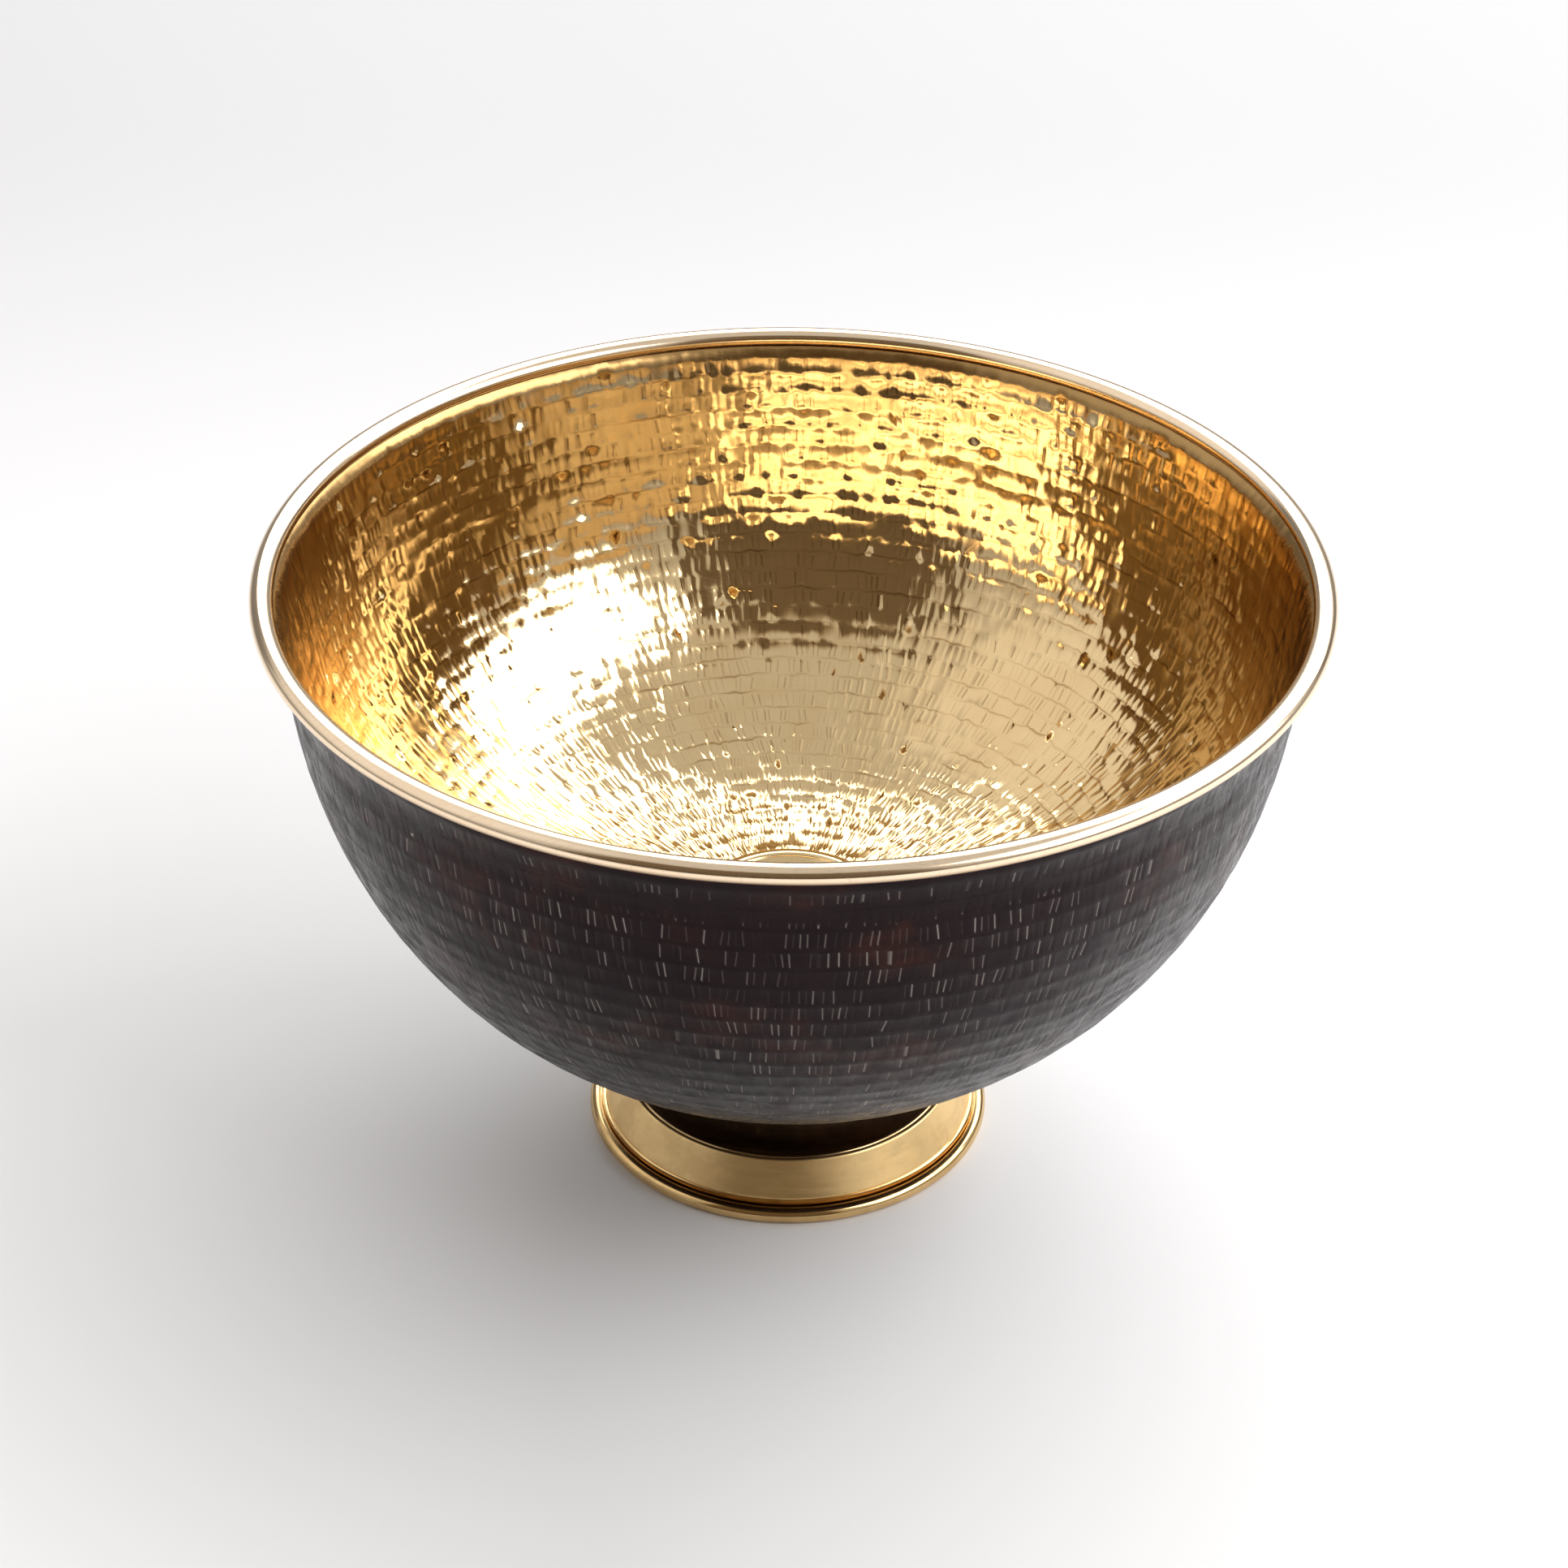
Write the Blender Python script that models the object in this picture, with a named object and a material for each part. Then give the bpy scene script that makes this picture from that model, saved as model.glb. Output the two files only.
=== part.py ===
"""A footed, hammered, double-walled bowl, built the way it comes apart on a bench.

A dark copper shell and a shallower brass liner have their edges held in a brass binding that is rolled
round a core wire. A stud runs from the smooth boss in the middle of the liner, through a spacer tube
between the two floors, to a nut inside the spun foot. Metres, +Z up, with the origin on the ground at
the middle of the foot. Every turned piece is a section at +X, spun round the Z axis.
"""

import math

import bmesh
import bpy
from mathutils import Vector

MM = 0.001
GAP = 0.3 * MM  # between pieces that touch on the real bowl

# Driving dimensions
HEIGHT = 247 * MM
RIM_RADIUS = 200 * MM
RIM_HALF_WIDTH = 4.45 * MM
RIM_HALF_HEIGHT = 3.6 * MM
RIM_SHEET = 0.6 * MM
RIM_WIRE_RADIUS = 1.9 * MM

SHEET = 0.9 * MM  # the sheet that both bowls are raised from
SHELL_RADIUS, SHELL_DEPTH, SHELL_POWER = 189.4 * MM, 200.8 * MM, 0.95
LINER_RADIUS, LINER_DEPTH, LINER_POWER = 184.9 * MM, 153.9 * MM, 0.80
SHELL_LIP_HEIGHT = 24 * MM  # the last stretch below the rim, which leans out
LINER_LIP_HEIGHT = 45 * MM
TURN_OUT, TURN_OUT_HEIGHT = 3.0 * MM, 3.5 * MM  # the liner's edge, where it enters the binding
FLOOR_RADIUS, FLOOR_HEIGHT = 40 * MM, 43.4 * MM  # the shell's flat, which the foot is clamped to
FLOOR_BLEND = 52 * MM
FLAT_RADIUS = 38 * MM  # the liner's flat, under the boss

BASE_RADIUS = 79.1 * MM
BASE_ROLL_RADIUS = 3.15 * MM
BASE_SHEET = 0.9 * MM
BASE_WIRE_RADIUS = 1.8 * MM
FOOT_SHEET = 1.2 * MM
BAND_TOP = (65.7 * MM, 21.2 * MM)  # radius and height of the cone band's outer edges
BAND_BOTTOM = (72.8 * MM, 7.8 * MM)
NECK_RADIUS = 46.8 * MM
NECK_CORNER = 2.2 * MM

STUD_RADIUS = 4.0 * MM
HUB_RADIUS, HUB_LENGTH = 9.0 * MM, 7.0 * MM
BOSS_RADIUS, BOSS_BEAD = 37 * MM, 5 * MM
BOSS_THICKNESS = 7.5 * MM
SEAL_THICKNESS = 0.8 * MM
SPACER_WALL = 2.4 * MM
WASHER_RADIUS, WASHER_THICKNESS = 14 * MM, 1.6 * MM
SPRING_SIDE, SPRING_RISE = 1.6 * MM, 0.5 * MM
NUT_FLATS, NUT_THICKNESS = 13 * MM, 6.5 * MM
STUD_PAST_NUT = 4 * MM

# Worked out from them
STUD_HOLE = STUD_RADIUS + GAP
HUB_HOLE = HUB_RADIUS + GAP
RIM_CENTRE = (RIM_RADIUS - RIM_HALF_WIDTH, HEIGHT - RIM_HALF_HEIGHT)
EQUATOR = RIM_CENTRE[1] - 2.5 * MM
LIP_TOP = RIM_CENTRE[1] - 0.9 * MM
LINER_LIP = RIM_CENTRE[0] - 2.15 * MM
SHELL_LIP = LINER_LIP + SHEET + GAP
PLATE_TOP = FLOOR_HEIGHT - GAP
WASHER_TOP = PLATE_TOP - FOOT_SHEET - GAP
SPRING_TOP = WASHER_TOP - WASHER_THICKNESS - GAP
NUT_TOP = SPRING_TOP - SPRING_SIDE - SPRING_RISE - GAP
STUD_BOTTOM = NUT_TOP - NUT_THICKNESS - STUD_PAST_NUT

BOWL_SEGMENTS = 48
FOOT_SEGMENTS = 40
SMALL_SEGMENTS = 24


def clear_scene():
    for obj in list(bpy.data.objects):
        bpy.data.objects.remove(obj)


def metal(name, colour, roughness, metallic=1.0):
    """A Principled material of one finish."""
    material = bpy.data.materials.new(name)
    material.use_nodes = True
    shader = material.node_tree.nodes["Principled BSDF"]
    shader.inputs["Base Color"].default_value = (*colour, 1)
    shader.inputs["Roughness"].default_value = roughness
    shader.inputs["Metallic"].default_value = metallic
    return material


def arc(centre, radii, start, end, steps):
    """Points on an ellipse's arc, from start to end in degrees, as (radius, height)."""
    turns = [math.radians(start + (end - start) * i / steps) for i in range(steps + 1)]
    return [(centre[0] + radii[0] * math.cos(a), centre[1] + radii[1] * math.sin(a)) for a in turns]


def inset(line, distance):
    """The line moved sideways by distance, to the right of the way it runs."""
    points = [Vector(p) for p in line]
    sides = []
    for a, b in zip(points, points[1:]):
        run = (b - a).normalized()
        sides.append(Vector((run.y, -run.x)))
    moved = []
    for i, point in enumerate(points):
        before, after = sides[max(i - 1, 0)], sides[min(i, len(sides) - 1)]
        middle = (before + after).normalized()
        moved.append(tuple(point + middle * (distance / middle.dot(before))))
    return moved


def sheet_section(outer_line, thickness):
    """The closed section of a sheet whose outside runs down outer_line."""
    return list(outer_line) + inset(outer_line, thickness)[::-1]


def add_object(name, mesh, material):
    mesh.materials.append(material)
    obj = bpy.data.objects.new(name, mesh)
    bpy.context.scene.collection.objects.link(obj)
    return obj


def turned(name, section, material, segments, closed=True):
    """An object whose section, drawn at +X, is turned round the Z axis by a Screw modifier."""
    mesh = bpy.data.meshes.new(name)
    count = len(section)
    edges = [(i, i + 1) for i in range(count - 1)]
    if closed:
        edges.append((count - 1, 0))
    mesh.from_pydata([(r, 0, z) for r, z in section], edges, [])
    screw = add_object(name, mesh, material).modifiers.new("Turn", "SCREW")
    screw.steps = screw.render_steps = segments
    screw.use_merge_vertices = True
    screw.merge_threshold = 0.00001
    screw.use_smooth_shade = True


def wall_line(radius, depth, power, lips, lowest_radius, steps):
    """A bowl wall's outside as (radius, height): an ellipse, fuller the lower its power, and set closer
    together near the rim. Each lip (width, height) leans the wall out over its last stretch."""
    lowest_angle = math.acos((lowest_radius / radius) ** (1 / power))
    line = [(radius + sum(width for width, _ in lips), LIP_TOP)]
    for i in range(steps + 1):
        angle = lowest_angle * (i / steps) ** 1.5
        drop = depth * math.sin(angle) ** power
        lean = sum(width * max(0.0, 1 - drop / height) ** 2 for width, height in lips)
        line.append((radius * math.cos(angle) ** power + lean, EQUATOR - drop))
    return line


def outer_shell(copper):
    lips = [(SHELL_LIP + SHEET - SHELL_RADIUS, SHELL_LIP_HEIGHT)]
    line = wall_line(SHELL_RADIUS, SHELL_DEPTH, SHELL_POWER, lips, FLOOR_BLEND, 12)
    line += [(FLOOR_RADIUS, FLOOR_HEIGHT), (STUD_HOLE, FLOOR_HEIGHT)]
    turned("outer_shell", sheet_section(line, SHEET), copper, BOWL_SEGMENTS)


def liner_line():
    """The liner's outside, from its lip down to the flat under the boss."""
    lips = [(LINER_LIP + SHEET - LINER_RADIUS - TURN_OUT, LINER_LIP_HEIGHT), (TURN_OUT, TURN_OUT_HEIGHT)]
    line = wall_line(LINER_RADIUS, LINER_DEPTH, LINER_POWER, lips, FLAT_RADIUS, 15)
    return line + [(HUB_HOLE, line[-1][1])]


def inner_liner(line, brass):
    turned("inner_liner", sheet_section(line, SHEET), brass, BOWL_SEGMENTS)


def rim(brass, steel):
    """The binding is a tube slit along its underside, where both bowls' edges enter it."""
    inner_lip, outer_lip = 210, -90
    outer = arc(RIM_CENTRE, (RIM_HALF_WIDTH, RIM_HALF_HEIGHT), inner_lip, outer_lip, 10)
    hollow = (RIM_HALF_WIDTH - RIM_SHEET, RIM_HALF_HEIGHT - RIM_SHEET)
    inner = arc(RIM_CENTRE, hollow, outer_lip, inner_lip, 8)
    turned("rim_binding", outer + inner, brass, BOWL_SEGMENTS)
    wire_centre = (RIM_RADIUS - RIM_SHEET - GAP - RIM_WIRE_RADIUS, RIM_CENTRE[1])
    wire = arc(wire_centre, (RIM_WIRE_RADIUS, RIM_WIRE_RADIUS), 360, 0, 6)[:-1]
    turned("rim_wire", wire, steel, BOWL_SEGMENTS)


def band_point(share):
    """A point on the band's outside, from its top edge at 0 to its bottom edge at 1."""
    return tuple(a + (b - a) * share for a, b in zip(BAND_TOP, BAND_BOTTOM))


def foot_neck(brass):
    """A top plate, a rounded corner, a hollow cove and a skirt that laps inside the band."""
    plate_edge = NECK_RADIUS - NECK_CORNER
    corner = arc((plate_edge, PLATE_TOP - NECK_CORNER), (NECK_CORNER, NECK_CORNER), 90, 0, 3)
    cove_end = (BAND_TOP[0] - 2.0 * MM, BAND_TOP[1] + 0.9 * MM)
    cove_top = 36 * MM
    radii = (cove_end[0] - NECK_RADIUS, cove_top - cove_end[1])
    cove = arc((cove_end[0], cove_top), radii, 180, 270, 5)
    lap = [(r - FOOT_SHEET - GAP, z) for r, z in (BAND_TOP, band_point(0.32))]
    line = [(STUD_HOLE, PLATE_TOP)] + corner + cove + lap
    turned("foot_neck", sheet_section(line, FOOT_SHEET), brass, FOOT_SEGMENTS)


def foot_band(brass):
    """The cone band between the neck and the base, with its two edges eased."""
    ease = 0.25 * MM
    top = (BAND_TOP[0] - ease, BAND_TOP[1] + ease)
    bottom = (BAND_BOTTOM[0] - ease, BAND_BOTTOM[1] - ease)
    outside = [top, band_point(0.02), band_point(0.98), bottom]
    inside = [(r - FOOT_SHEET + ease, z) for r, z in (bottom, top)]
    turned("foot_band", outside + inside, brass, FOOT_SEGMENTS)


def foot_base(brass, steel):
    """The base ring laps inside the band, dips into a groove and rolls over its core wire."""
    roll = (BASE_RADIUS - BASE_ROLL_RADIUS, BASE_ROLL_RADIUS)
    lap_in = FOOT_SHEET + GAP
    lap_top, lap_low = band_point(0.68), band_point(0.97)
    flat_outer, flat_inner = roll[0] + 1.0 * MM, roll[0] - 1.5 * MM
    line = [(lap_top[0] - lap_in, lap_top[1]), (lap_low[0] - lap_in, lap_low[1])]
    line.append((BAND_BOTTOM[0] - 0.6 * MM, BAND_BOTTOM[1] - 2.2 * MM))
    line += arc(roll, (BASE_ROLL_RADIUS, BASE_ROLL_RADIUS), 120, -60, 6)
    line += [(flat_outer, 0), (flat_inner, 0)]
    cavity = BASE_ROLL_RADIUS - BASE_SHEET
    back = [(flat_inner, BASE_SHEET)] + arc(roll, (cavity, cavity), -90, 120, 6)
    back.append((BAND_BOTTOM[0] - 0.9 * MM, BAND_BOTTOM[1] - 3.2 * MM))
    back.append((lap_low[0] - lap_in - BASE_SHEET, lap_low[1] - 0.6 * MM))
    back.append((lap_top[0] - lap_in - BASE_SHEET, lap_top[1]))
    turned("foot_base_ring", line + back, brass, FOOT_SEGMENTS)
    wire = arc(roll, (BASE_WIRE_RADIUS, BASE_WIRE_RADIUS), 360, 0, 6)[:-1]
    turned("foot_wire", wire, steel, FOOT_SEGMENTS)


def centre_boss(floor, brass, fibre):
    """A disc with a raised bead round it, a recess for the seal below, and a hub bored for the stud."""
    top = floor + BOSS_THICKNESS
    skirt = 1.2 * MM
    bead_half = BOSS_BEAD / 2
    bead = arc((BOSS_RADIUS - bead_half, top), (bead_half, 1.2 * MM), 180, 0, 6)
    recess = floor + SEAL_THICKNESS + GAP
    bore_top = recess + 0.4 * MM
    hub_bottom = floor - HUB_LENGTH
    section = [(0, top + 0.5 * MM), (BOSS_RADIUS * 0.5, top + 0.3 * MM)] + bead
    section += [(BOSS_RADIUS, floor), (BOSS_RADIUS - skirt, floor), (BOSS_RADIUS - skirt, recess)]
    section += [(HUB_RADIUS, recess), (HUB_RADIUS, hub_bottom), (STUD_HOLE, hub_bottom)]
    section += [(STUD_HOLE, bore_top), (0, bore_top)]
    turned("centre_boss", section, brass, SMALL_SEGMENTS, closed=False)
    washer("seal_washer", HUB_HOLE, BOSS_RADIUS - skirt - GAP, floor + SEAL_THICKNESS, SEAL_THICKNESS, fibre)
    return bore_top - GAP


def washer(name, hole, radius, top, thickness, material):
    low = top - thickness
    turned(name, [(radius, top), (radius, low), (hole, low), (hole, top)], material, SMALL_SEGMENTS)


def fixings(stud_top, liner_floor, steel):
    """The stud, the tube between the two floors, and the washers and nut inside the foot."""
    chamfer = 0.6 * MM
    stud = [(0, stud_top), (STUD_RADIUS, stud_top), (STUD_RADIUS, STUD_BOTTOM + chamfer),
            (STUD_RADIUS - chamfer, STUD_BOTTOM), (0, STUD_BOTTOM)]
    turned("fixing_stud", stud, steel, 16, closed=False)
    spacer_top, spacer_bottom = liner_floor - GAP, FLOOR_HEIGHT + SHEET + GAP
    spacer_hole = HUB_RADIUS + 2 * GAP
    washer("spacer_tube", spacer_hole, spacer_hole + SPACER_WALL, spacer_top, spacer_top - spacer_bottom, steel)
    washer("spread_washer", STUD_HOLE, WASHER_RADIUS, WASHER_TOP, WASHER_THICKNESS, steel)
    lock_washer(steel)
    fixing_nut(steel)


def lock_washer(steel):
    """A square wire wound almost one turn, whose cut ends stand a little apart."""
    outer = STUD_HOLE + SPRING_SIDE
    corners = [(STUD_HOLE, 0), (outer, 0), (outer, -SPRING_SIDE), (STUD_HOLE, -SPRING_SIDE)]
    steps, full_turn = 20, math.radians(340)
    verts = []
    for i in range(steps + 1):
        angle, top = full_turn * i / steps, SPRING_TOP - SPRING_RISE * i / steps
        verts += [(r * math.cos(angle), r * math.sin(angle), top + z) for r, z in corners]
    faces = [(3, 2, 1, 0), tuple(4 * steps + k for k in range(4))]
    for i in range(steps):
        here, there = 4 * i, 4 * (i + 1)
        faces += [(here + k, here + (k + 1) % 4, there + (k + 1) % 4, there + k) for k in range(4)]
    mesh = bpy.data.meshes.new("lock_washer")
    mesh.from_pydata(verts, [], faces)
    add_object("lock_washer", mesh, steel)


def nut_shape(name, made, material):
    """The bmesh as an object, lifted to where the nut is."""
    bmesh.ops.translate(made, vec=(0, 0, NUT_TOP - NUT_THICKNESS / 2), verts=made.verts)
    mesh = bpy.data.meshes.new(name)
    made.to_mesh(mesh)
    made.free()
    return add_object(name, mesh, material)


def fixing_nut(steel):
    """A hexagon bored for the stud, with its corners turned off at both ends."""
    corner = NUT_FLATS / 2 / math.cos(math.radians(30))
    made, bore, rounding = bmesh.new(), bmesh.new(), bmesh.new()
    bmesh.ops.create_cone(made, cap_ends=True, segments=6, radius1=corner, radius2=corner, depth=NUT_THICKNESS)
    bmesh.ops.create_cone(
        bore, cap_ends=True, segments=20, radius1=STUD_HOLE, radius2=STUD_HOLE, depth=3 * NUT_THICKNESS
    )
    bmesh.ops.create_uvsphere(rounding, u_segments=24, v_segments=14, radius=corner * 1.09)
    nut = nut_shape("fixing_nut", made, steel)
    for name, shape, operation in (("nut_bore", bore, "DIFFERENCE"), ("nut_round", rounding, "INTERSECT")):
        cutter = nut_shape(name, shape, steel)
        cutter.hide_render = True
        cutter.display_type = "WIRE"
        cut = nut.modifiers.new(name, "BOOLEAN")
        cut.operation = operation
        cut.object = cutter


def main():
    clear_scene()
    copper = metal("dark_copper", (0.055, 0.032, 0.034), 0.38)
    bright_brass = metal("bright_brass", (0.80, 0.58, 0.24), 0.16)
    rim_brass = metal("rim_brass", (0.86, 0.66, 0.44), 0.12)
    foot_brass = metal("foot_brass", (0.74, 0.55, 0.29), 0.28)
    neck_brass = metal("neck_brass", (0.20, 0.13, 0.06), 0.3)
    steel = metal("steel", (0.55, 0.55, 0.56), 0.35)
    fibre = metal("fibre", (0.30, 0.12, 0.07), 0.8, metallic=0.0)
    outer_shell(copper)
    line = liner_line()
    liner_floor = line[-1][1]
    inner_liner(line, bright_brass)
    rim(rim_brass, steel)
    foot_neck(neck_brass)
    foot_band(foot_brass)
    foot_base(foot_brass, steel)
    stud_top = centre_boss(liner_floor + SHEET + GAP, bright_brass, fibre)
    fixings(stud_top, liner_floor, steel)


main()
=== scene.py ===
# %% [markdown]
# # A hammered, double-walled bowl on a turned foot
# The CAD model fixes every size and place. This lesson dresses it: two hammered bowls, a rolled rim, a
# turned foot and its fixings, each with the finish that the metal has. Almost every piece is round, so
# one idea carries the whole lesson: draw half a section, and let Geometry Nodes turn it round Z.

# %% Load the CAD frame
import math

import bpy
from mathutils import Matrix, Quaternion, Vector


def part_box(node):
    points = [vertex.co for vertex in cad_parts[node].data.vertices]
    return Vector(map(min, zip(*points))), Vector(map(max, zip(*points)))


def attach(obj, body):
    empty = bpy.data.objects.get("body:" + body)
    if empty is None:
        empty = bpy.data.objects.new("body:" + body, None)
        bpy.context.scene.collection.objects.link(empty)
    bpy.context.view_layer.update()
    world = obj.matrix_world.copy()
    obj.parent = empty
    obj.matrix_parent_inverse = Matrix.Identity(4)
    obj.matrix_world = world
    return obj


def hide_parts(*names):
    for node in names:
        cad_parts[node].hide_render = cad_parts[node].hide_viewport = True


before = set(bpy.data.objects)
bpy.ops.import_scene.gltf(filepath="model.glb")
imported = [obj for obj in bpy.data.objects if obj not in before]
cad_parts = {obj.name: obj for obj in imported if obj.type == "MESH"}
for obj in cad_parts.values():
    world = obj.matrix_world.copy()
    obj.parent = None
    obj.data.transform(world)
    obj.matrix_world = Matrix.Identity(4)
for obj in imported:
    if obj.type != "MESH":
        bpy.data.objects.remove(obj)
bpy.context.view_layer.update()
MM = 0.001

# %% [markdown]
# ## Sizes
# The outer sizes come from the CAD nodes. The sheet, the holes and the curves of the walls repeat the
# numbers of the CAD model. A bowl's wall is an ellipse whose sine and cosine are raised to a power: below
# 1 the wall is fuller than an ellipse, which is how a bowl comes out when its side is worked steeper than
# its floor. Near the rim each wall leans out a little, over the heights given as its lips.

# %% Read the sizes
_, RIM_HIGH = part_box("rim_binding")
RIM_RADIUS, RIM_TOP = RIM_HIGH.x, RIM_HIGH.z
RIM_HALF_WIDTH, RIM_HALF_HEIGHT = 4.45 * MM, 3.6 * MM
RIM_SHEET = 0.6 * MM
RIM_CENTRE = (RIM_RADIUS - RIM_HALF_WIDTH, RIM_TOP - RIM_HALF_HEIGHT)
EQUATOR = RIM_CENTRE[1] - 2.5 * MM
LIP_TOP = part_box("outer_shell")[1].z
SHEET = 0.9 * MM

SHELL = {"radius": 189.4 * MM, "depth": 200.8 * MM, "power": 0.95}
SHELL["lips"] = [(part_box("outer_shell")[1].x - SHELL["radius"], 24 * MM)]
LINER = {"radius": 184.9 * MM, "depth": 153.9 * MM, "power": 0.80}
TURN_OUT = 3 * MM
LINER["lips"] = [(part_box("inner_liner")[1].x - LINER["radius"] - TURN_OUT, 45 * MM), (TURN_OUT, 3.5 * MM)]
FLAT_RADIUS = 38 * MM
STUD_HOLE, HUB_HOLE = 4.3 * MM, 9.3 * MM
print("rim radius and top in mm:", round(RIM_RADIUS / MM, 2), round(RIM_TOP / MM, 2))

# %% [markdown]
# ## Tools for building node trees
# Geometry Nodes and shaders are built the same way: make a node, then feed each input with a value or
# with another node's output. These helpers keep the trees below short enough to read.


# %% Node helpers
def feed(tree, socket, value):
    """Links an output to the socket, or sets the socket's own value."""
    if isinstance(value, bpy.types.NodeSocket):
        tree.links.new(value, socket)
    elif value is not None:
        socket.default_value = value


def node(tree, kind, *values, **settings):
    """A node whose inputs are fed in order. None leaves an input as it is."""
    made = tree.nodes.new(kind)
    for name, setting in settings.items():
        setattr(made, name, setting)
    usable = [socket for socket in made.inputs if socket.enabled]
    for socket, value in zip(usable, values):
        feed(tree, socket, value)
    return made


def calc(tree, operation, *values):
    return node(tree, "ShaderNodeMath", *values, operation=operation).outputs[0]


def out(made):
    """The first output that the node's settings leave in use."""
    return next(socket for socket in made.outputs if socket.enabled)


# %% [markdown]
# ## The hammering, as a rule
# The smith works round the bowl in courses. In each course a narrow cross-peen leaves upright nicks side
# by side, a few together and then a miss, leaning a little with the swing of the arm. Between courses the
# sheet keeps a soft, wandering crease. The tree below turns a section round Z and presses these marks:
#
# * a tube of quads is wrapped on the section, one ring of vertices for each point of the section;
# * running round a ring, a counter ticks over every few columns, and each tick is a nick;
# * noise that is read on a circle, so that it closes on itself, thins the nicks out and makes them lean.
#
# The same tree with no marks makes every plain turned piece.


# %% The turning tree: its inputs
def tree_input(tree, name, kind, default):
    socket = tree.interface.new_socket(name, in_out="INPUT", socket_type=kind)
    if default is not None:
        socket.default_value = default
    return socket.identifier


def new_turning_tree():
    """The empty tree, with its named inputs and the identifier of each."""
    tree = bpy.data.node_groups.new("turn_and_hammer", "GeometryNodeTree")
    tree_input(tree, "Section", "NodeSocketGeometry", None)
    ids = {"Columns": tree_input(tree, "Columns", "NodeSocketInt", 96)}
    ids["Nicks"] = tree_input(tree, "Nicks", "NodeSocketInt", 0)
    for name, default in (
        ("Nick Depth", 0.0),
        ("Lean", 0.0),
        ("Crease", 0.0),
        ("Wander", 0.0),
        ("Dimple", 0.0),
        ("Dimple Size", 0.02),
        ("Thinning", 0.5),
        ("Seed", 0.0),
    ):
        ids[name] = tree_input(tree, name, "NodeSocketFloat", default)
    ids["Metal"] = tree_input(tree, "Metal", "NodeSocketMaterial", None)
    tree.interface.new_socket("Piece", in_out="OUTPUT", socket_type="NodeSocketGeometry")
    return tree, ids


# %% The turning tree: its parts
def section_value(tree, section, ring, name, data_type="FLOAT"):
    """What the section's point number ring holds under that name."""
    attribute = node(tree, "GeometryNodeInputNamedAttribute", name, data_type=data_type)
    sample = node(tree, "GeometryNodeSampleIndex", data_type=data_type, domain="POINT")
    feed(tree, sample.inputs["Geometry"], section)
    feed(tree, next(s for s in sample.inputs if s.name == "Value" and s.enabled), out(attribute))
    feed(tree, sample.inputs["Index"], ring)
    return out(sample)


def solid_noise(tree, x, y, z, scale, detail=0.0):
    """Solid noise at a point, from about -1 to 1."""
    noise = node(tree, "ShaderNodeTexNoise", noise_dimensions="3D")
    feed(tree, noise.inputs["Vector"], node(tree, "ShaderNodeCombineXYZ", x, y, z).outputs[0])
    feed(tree, noise.inputs["Scale"], scale)
    feed(tree, noise.inputs["Detail"], detail)
    return calc(tree, "MULTIPLY_ADD", noise.outputs[0], 4.0, -2.0)


def circle_noise(tree, angle, layer, scale, detail=0.0):
    """Noise that closes on itself, because it is read where a circle passes through solid noise."""
    return solid_noise(
        tree, calc(tree, "COSINE", angle), calc(tree, "SINE", angle), layer, scale, detail
    )


def tick_counter(tree, column, columns, nicks, layer):
    """How many nicks the smith has made by this column, unevenly spaced."""
    share = calc(tree, "DIVIDE", column, columns)
    wander = circle_noise(tree, calc(tree, "MULTIPLY", share, math.tau), layer, 9.0, 2.0)
    return calc(tree, "FLOOR", calc(tree, "MULTIPLY_ADD", share, nicks, wander))


def nick_force(tree, inputs, angle, layer, press):
    """How hard the hammer fell on this vertex, from 0 to 1."""
    share = calc(tree, "FRACT", calc(tree, "ADD", calc(tree, "DIVIDE", angle, math.tau), 1.0))
    columns = inputs["Columns"]
    column = calc(tree, "ROUND", calc(tree, "MULTIPLY", share, columns))
    here = tick_counter(tree, column, columns, inputs["Nicks"], layer)
    before = tick_counter(tree, calc(tree, "SUBTRACT", column, 1.0), columns, inputs["Nicks"], layer)
    ticked = calc(tree, "GREATER_THAN", calc(tree, "SUBTRACT", here, before), 0.5)
    patchy = circle_noise(tree, angle, calc(tree, "ADD", layer, 51.0), 24.0, 1.0)
    kept = calc(tree, "GREATER_THAN", patchy, calc(tree, "MULTIPLY_ADD", inputs["Thinning"], 2.0, -1.0))
    chance = node(tree, "ShaderNodeTexWhiteNoise", noise_dimensions="2D")
    feed(tree, chance.inputs["Vector"], node(tree, "ShaderNodeCombineXYZ", here, layer, 0.0).outputs[0])
    force = calc(tree, "MULTIPLY_ADD", chance.outputs["Value"], 0.65, 0.35)
    return calc(tree, "MULTIPLY", calc(tree, "MULTIPLY", ticked, kept), calc(tree, "MULTIPLY", force, press))


def scaled(tree, vector, amount):
    moved = node(tree, "ShaderNodeVectorMath", vector, operation="SCALE")
    feed(tree, moved.inputs["Scale"], amount)
    return moved.outputs[0]


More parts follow.
